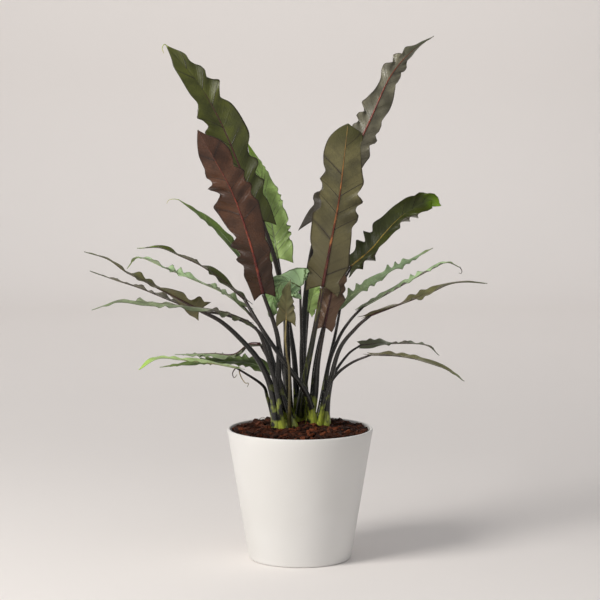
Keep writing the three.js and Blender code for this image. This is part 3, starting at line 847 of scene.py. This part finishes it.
def stalk_piece(it):
    line = Line(in_pot([it["foot"], *it["stalk"], it["blade"][0]]))

    def radius(share):
        far = share * line.length
        sheath = 0.7 * np.exp(-far / SHEATH_LENGTH) + 0.3 * np.exp(-far / SWELL_LENGTH)
        return it["radius"] * (1 + (STALK_TAPER - 1) * share + sheath)

    rows = max(16, round(line.length / (5 * MM)))
    bm = rolled_rod(line, radius, STALK_SIDES, rows)
    return object_from(bm, it["name"] + "_stalk", [STALKS[it["stalk_slot"]]])


for name, it in LEAVES.items():
    finished(stalk_piece(it), it["stalk_slot"], "stalk_" + name)
print("stalks made")

# %% [markdown]
# ## Crowns
#
# A crown is the swollen foot that a clump of stalks grows from. It is a spun profile, and its
# outside is pushed in and out so that it reads as overlapping sheaths. Its colour runs from fresh
# yellow-green to the brown of old, dried sheath at the mix.


# %% Crown material
def crown_material():
    material, net, shader = new_material("crown")
    place = net.place()
    streaks, stains = net.noise(net.place(1.0, 1.0, 0.25), 330.0, 4.0), net.noise(place, 90.0, 3.0)
    height = net.add("ShaderNodeSeparateXYZ", {0: place}).outputs[2]
    low = net.spread(height, RIM_HEIGHT, RIM_HEIGHT + 0.014, 0.95, 0.6)
    colour = net.mix(net.spread(streaks, 0.35, 0.65), rgba(0.15, 0.19, 0.022), rgba(0.36, 0.42, 0.07))
    stained = net.maths("MULTIPLY", net.spread(stains, 0.36, 0.62), low)
    colour = net.mix(stained, colour, rgba(0.028, 0.026, 0.010))
    net.dress(shader, colour, net.spread(streaks, 0.3, 0.7, 0.6, 0.42), streaks, 0.5, 0.8 * MM)
    return material


# %% Spin a profile
def outline(points):
    """A bmesh with one open line through points, its corners and its edges."""
    bm = bmesh.new()
    corners = [bm.verts.new(point) for point in points]
    return bm, corners, [bm.edges.new(pair) for pair in zip(corners, corners[1:])]


def spun(profile, steps):
    """A solid of revolution about Z from (radius, height) points, from the axis round to the axis."""
    bm, corners, edges = outline([(radius, 0, height) for radius, height in profile])
    bmesh.ops.spin(
        bm, geom=corners + edges, cent=(0, 0, 0), axis=(0, 0, 1), angle=2 * math.pi, steps=steps,
        use_merge=True,
    )
    bmesh.ops.remove_doubles(bm, verts=bm.verts, dist=1e-6)
    bmesh.ops.recalc_face_normals(bm, faces=bm.faces)
    return bm


# %% Build the crowns
CROWN_PROFILE = [(0, -46), (9, -42), (14, -30), (16, -9), (15.5, 2), (14, 8), (11, 13), (6, 16), (0, 17)]
CROWN_STEPS = 72
SHEATHS = 8
crown_skin = crown_material()

for crown, (x, y, first_at) in CROWNS.items():
    smooth = Line([(radius * MM, 0, height * MM) for radius, height in CROWN_PROFILE])
    rings, _ = smooth.at(np.linspace(0, smooth.length, 34))
    bm = spun([(max(p[0], 0), p[2]) for p in rings], CROWN_STEPS)
    for v in bm.verts:
        angle = math.atan2(v.co.y, v.co.x)
        fold = abs(math.sin((angle - math.radians(first_at)) * SHEATHS / 2 + 30 * v.co.z))
        bulge = 0.94 + 0.12 * fold**0.6
        v.co = Vector((v.co.x * bulge + x * MM, v.co.y * bulge + y * MM, v.co.z + RIM_HEIGHT))
    finished(object_from(bm, f"{crown}_crown", [crown_skin]), "crown", "crown_" + crown)
print("crowns made")

# %% [markdown]
# ## The pot
#
# The pot is moulded plastic with a satin finish. Its profile is drawn once, from the middle of the
# floor out, up the wall, round the lip and down the inside, and spun in fine steps so that its
# outline stays round. The lip and the foot's edge are arcs, because a moulding has no sharp edge.


# %% Pot material
def pot_material():
    material, net, shader = new_material("pot")
    place = net.place()
    cloud, grain = net.noise(place, 9.0, 2.0), net.noise(place, 900.0, 3.0)
    colour = net.mix(net.spread(cloud, 0.35, 0.65), rgba(0.715, 0.705, 0.68), rgba(0.75, 0.74, 0.72))
    net.dress(shader, colour, net.spread(cloud, 0.35, 0.65, 0.42, 0.5), grain, 0.12, 0.3 * MM)
    return material


# %% Build the pot
RIM_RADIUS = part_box("pot")[1].x
FOOT_RADIUS = 68 * MM
POT_WALL = 4 * MM
POT_FLOOR = 5 * MM
FOOT_EDGE_RADIUS = 3 * MM
POT_STEPS = 160


def pot_radius(height):
    return FOOT_RADIUS + (RIM_RADIUS - FOOT_RADIUS) * height / RIM_HEIGHT


def arc(centre, radius, start, end, steps):
    """Points of an arc about a centre, from one angle to another in degrees."""
    angles = np.radians(np.linspace(start, end, steps + 1))
    return [(centre[0] + radius * math.cos(a), centre[1] + radius * math.sin(a)) for a in angles]


lip_radius = POT_WALL / 2
lip_height = RIM_HEIGHT - lip_radius
walls = np.linspace(FOOT_EDGE_RADIUS, lip_height, 14)[1:-1]
pot_profile = [
    (0, 0),
    *arc((FOOT_RADIUS - FOOT_EDGE_RADIUS, FOOT_EDGE_RADIUS), FOOT_EDGE_RADIUS, -90, 0, 6),
    *[(pot_radius(z), z) for z in walls],
    *arc((pot_radius(lip_height) - lip_radius, lip_height), lip_radius, 0, 180, 12),
    *[(pot_radius(z) - POT_WALL, z) for z in walls[::-1]],
    (pot_radius(POT_FLOOR) - POT_WALL, POT_FLOOR),
    (0, POT_FLOOR),
]
pot = object_from(spun(pot_profile, POT_STEPS), "white_pot", [pot_material()])
finished(pot, "pot", "pot")
print("pot:", len(pot_profile), "points in its profile")

# %% [markdown]
# ## Potting mix
#
# The mix is coarse red-brown bark with a little coir. A mounded bed, roughened with noise, carries
# the colour of damp fines, and over a thousand loose chips lie on it. A chip is a cube cut once and
# pushed out of shape; a few such chips are copied at random sizes and turns. Each copy carries its
# own tone, so that no two neighbours match.


# %% Mix material
def mix_material():
    material, net, shader = new_material("potting_mix")
    tone = net.add("ShaderNodeAttribute", attribute_name="tone").outputs["Fac"]
    fines = net.noise(net.place(), 420.0, 5.0)
    fibres = net.noise(net.place(0.3, 1.0, 1.0), 900.0, 2.0)
    colour = net.mix(net.spread(tone, 0.0, 0.6), rgba(0.008, 0.003, 0.001), rgba(0.038, 0.009, 0.0022))
    colour = net.mix(net.spread(tone, 0.6, 1.0), colour, rgba(0.13, 0.032, 0.009))
    colour = net.mix(1.0, colour, net.spread(fines, 0.3, 0.7, 0.55, 1.45), "MULTIPLY")
    colour = net.mix(1.0, colour, net.spread(fibres, 0.3, 0.7, 0.8, 1.2), "MULTIPLY")
    net.dress(shader, colour, net.spread(fines, 0.3, 0.7, 0.95, 0.7), fines, 0.8, 1.0 * MM)
    shader["Specular IOR Level"].default_value = 0.25
    return material


mix_skin = mix_material()

# %% Build the bed of mix
MIX_BELOW_RIM = 6 * MM
MIX_MOUND = 9 * MM
BED_STEPS = 120
BED_RINGS = 44
bed_edge = RIM_HEIGHT - MIX_BELOW_RIM
bed_radius = pot_radius(bed_edge) - POT_WALL - 0.3 * MM


def bed_height(x, y):
    """The height of the bed's top: a mound with low swells in it."""
    out = min(math.hypot(x, y) / bed_radius, 1.0)
    swell = math.sin(70 * x + 1) * math.sin(60 * y + 2) * 1.6 + math.sin(190 * x) * math.sin(210 * y + 1)
    return bed_edge + MIX_MOUND * (1 - out**2) + swell * (1 - out**4) * MM


bottom = POT_FLOOR + 0.3 * MM
bed_profile = [(0, bottom), (pot_radius(bottom) - POT_WALL - 0.3 * MM, bottom)]
bed_profile += [(bed_radius * (1 - i / BED_RINGS), bed_edge) for i in range(BED_RINGS + 1)]
bed = spun(bed_profile, BED_STEPS)
chance = random.Random(7)
tone = bed.verts.layers.float.new("tone")
for v in bed.verts:
    if v.co.z > bed_edge - 1e-5:
        inside = 1 - (math.hypot(v.co.x, v.co.y) / bed_radius) ** 8
        v.co.z = bed_height(v.co.x, v.co.y) + chance.uniform(-1.4, 1.0) * inside * MM
    v[tone] = chance.uniform(0.0, 0.35)
finished(object_from(bed, "mix_bed", [mix_skin], smooth=False), "potting_mix", "potting_mix")
print("bed", round(bed_radius, 4), "m in radius")


# %% Shape a few bark chips
def chip_shape(chance):
    """The corners of a bark chip about one unit long, and its mesh."""
    bm = bmesh.new()
    bmesh.ops.create_cube(bm, size=1)
    bmesh.ops.subdivide_edges(bm, edges=bm.edges, cuts=1, use_grid_fill=True)
    for v in bm.verts:
        v.co *= 0.8 + 0.2 / max(v.co.length, 0.4)
        v.co += Vector([chance.uniform(-0.12, 0.12) for _ in range(3)])
    mesh = bpy.data.meshes.new("chip")
    bm.to_mesh(mesh)
    bm.free()
    return mesh


chance = random.Random(21)
CHIPS = [chip_shape(chance) for _ in range(9)]
print(len(CHIPS), "chip shapes of", len(CHIPS[0].polygons), "faces")


# %% Strew the chips
CHIP_ROOM = 15 * MM
FIBRE_ROOM = 16 * MM


def random_spot(chance, reach):
    """A spot within a reach of the bed's middle, as likely in one place as in another."""
    out, turn = math.sqrt(chance.random()) * reach, chance.uniform(0, 2 * math.pi)
    return out * math.cos(turn), out * math.sin(turn)


def clear_of_crowns(x, y, room):
    return all(math.hypot(x - cx * MM, y - cy * MM) > room for cx, cy, _ in CROWNS.values())


def strew(name, count, seed, long, wide, thick, tilt, tones, raised):
    """Chips strewn on the bed. long, wide and thick are runs of millimetres; tilt is in degrees."""
    chance = random.Random(seed)
    bm = bmesh.new()
    tone = bm.verts.layers.float.new("tone")
    placed = 0
    while placed < count:
        x, y = random_spot(chance, bed_radius - 0.4 * long[1] * MM)
        size = [chance.uniform(*run) * MM for run in (long, wide, thick)]
        if not clear_of_crowns(x, y, CHIP_ROOM):
            continue
        lean = [math.radians(chance.uniform(-tilt, tilt)) for _ in range(2)]
        z = bed_height(x, y) + chance.uniform(*raised) * MM
        move = Matrix.Translation((x, y, z)) @ Matrix.Rotation(chance.uniform(0, 6.3), 4, "Z")
        move = move @ Matrix.Rotation(lean[0], 4, "X") @ Matrix.Rotation(lean[1], 4, "Y")
        move = move @ Matrix.Diagonal((*size, 1))
        before = len(bm.verts)
        bm.from_mesh(chance.choice(CHIPS))
        bm.verts.ensure_lookup_table()
        added = bm.verts[before:]
        bmesh.ops.transform(bm, matrix=move, verts=added)
        own = chance.uniform(*tones)
        for v in added:
            v[tone] = own
        placed += 1
    bmesh.ops.recalc_face_normals(bm, faces=bm.faces)
    return finished(object_from(bm, name, [mix_skin], smooth=False), "potting_mix")


strew("bark_small", 900, 3, (4, 9), (2, 5), (1.2, 3), 40, (0.05, 0.75), (-0.5, 1.5))
strew("bark_large", 330, 4, (7, 16), (3, 7), (2, 4), 24, (0.1, 1.0), (0.5, 3.0))
print("chips strewn")

# %% [markdown]
# Coir leaves short, wiry fibres, and a few stand up out of the mix. Each is a thin rod along a
# random arc.

# %% Loose fibres
chance = random.Random(12)
fibres = bmesh.new()
for _ in range(90):
    x, y = random_spot(chance, bed_radius * 0.9)
    if not clear_of_crowns(x, y, FIBRE_ROOM):
        continue
    way, reach, rise = chance.uniform(0, 2 * math.pi), chance.uniform(6, 16) * MM, chance.uniform(1, 5) * MM
    z = bed_height(x, y) + 1.5 * MM
    points = [
        (x + reach * t * math.cos(way + t), y + reach * t * math.sin(way + t), z + rise * math.sin(2.6 * t))
        for t in (0, 0.35, 0.7, 1)
    ]
    if math.hypot(*points[-1][:2]) < bed_radius - 3 * MM:
        join_into(fibres, rolled_rod(Line(points), lambda part: 0.3 * MM + 0 * part, 5, 7, (0.2, 0.1, 1)))
tone = fibres.verts.layers.float.new("tone")
for v in fibres.verts:
    v[tone] = 0.85
finished(object_from(fibres, "coir_fibres", [mix_skin]), "potting_mix")
print("fibres laid")

# %% [markdown]
# ## Floor and light
#
# The floor is a pale sweep that curves up well behind the plant, so that no horizon shows from the
# front. A large soft light from the left shapes the pot and the leaves, a weak, wide one from the
# right keeps the shaded side open, and a third lights only the sweep.


# %% Floor
def plain_material(name, colour, roughness):
    material, net, shader = new_material(name)
    cloud = net.noise(net.place(), 1.5, 2.0)
    lighter = tuple(min(1.0, 1.03 * part) for part in colour)
    net.tree.links.new(net.mix(cloud, rgba(*colour), rgba(*lighter)), shader["Base Color"])
    shader["Roughness"].default_value = roughness
    return material


SWEEP_RADIUS = 0.6
SWEEP_START = 3.0
SWEEP_REACH = 9
SWEEP_TOP = 4.0
sweep = [(-SWEEP_REACH, 0), (SWEEP_START, 0)]
sweep += arc((SWEEP_START, SWEEP_RADIUS), SWEEP_RADIUS, -90, 0, 24)[1:]
sweep += [(SWEEP_START + SWEEP_RADIUS, SWEEP_TOP)]
bm, _, edges = outline([(-SWEEP_REACH, y, z) for y, z in sweep])
made = bmesh.ops.extrude_edge_only(bm, edges=edges)["geom"]
far_side = [v for v in made if isinstance(v, bmesh.types.BMVert)]
bmesh.ops.translate(bm, verts=far_side, vec=(2 * SWEEP_REACH, 0, 0))
bmesh.ops.recalc_face_normals(bm, faces=bm.faces)
floor = object_from(bm, "floor", [plain_material("floor", (0.82, 0.785, 0.76), 0.85)])
print("floor laid")


# %% Lights
def area_light(name, place, target, size, watts, colour):
    data = bpy.data.lights.new(name, "AREA")
    data.shape = "DISK"
    data.size = size
    data.energy = watts
    data.color = colour
    light = bpy.data.objects.new(name, data)
    light.location = place
    light.rotation_euler = (Vector(target) - Vector(place)).to_track_quat("-Z", "Y").to_euler()
    bpy.context.scene.collection.objects.link(light)


area_light("window", (-1.9, -1.5, 1.9), (0, 0, 0.35), 1.3, 72, (1.0, 0.97, 0.93))
area_light("fill", (2.4, -1.6, 1.2), (0, 0, 0.3), 2.0, 3, (0.95, 0.97, 1.0))
area_light("backdrop", (0, 1.5, 3.0), (0, 3.6, 2.5), 1.5, 31, (1.0, 0.98, 0.96))
world = bpy.data.worlds.new("studio")
world.use_nodes = True
world.node_tree.nodes["Background"].inputs["Color"].default_value = (0.93, 0.93, 0.95, 1)
world.node_tree.nodes["Background"].inputs["Strength"].default_value = 0.42
bpy.context.scene.world = world
bpy.context.scene.view_settings.view_transform = "Standard"
print("lit")
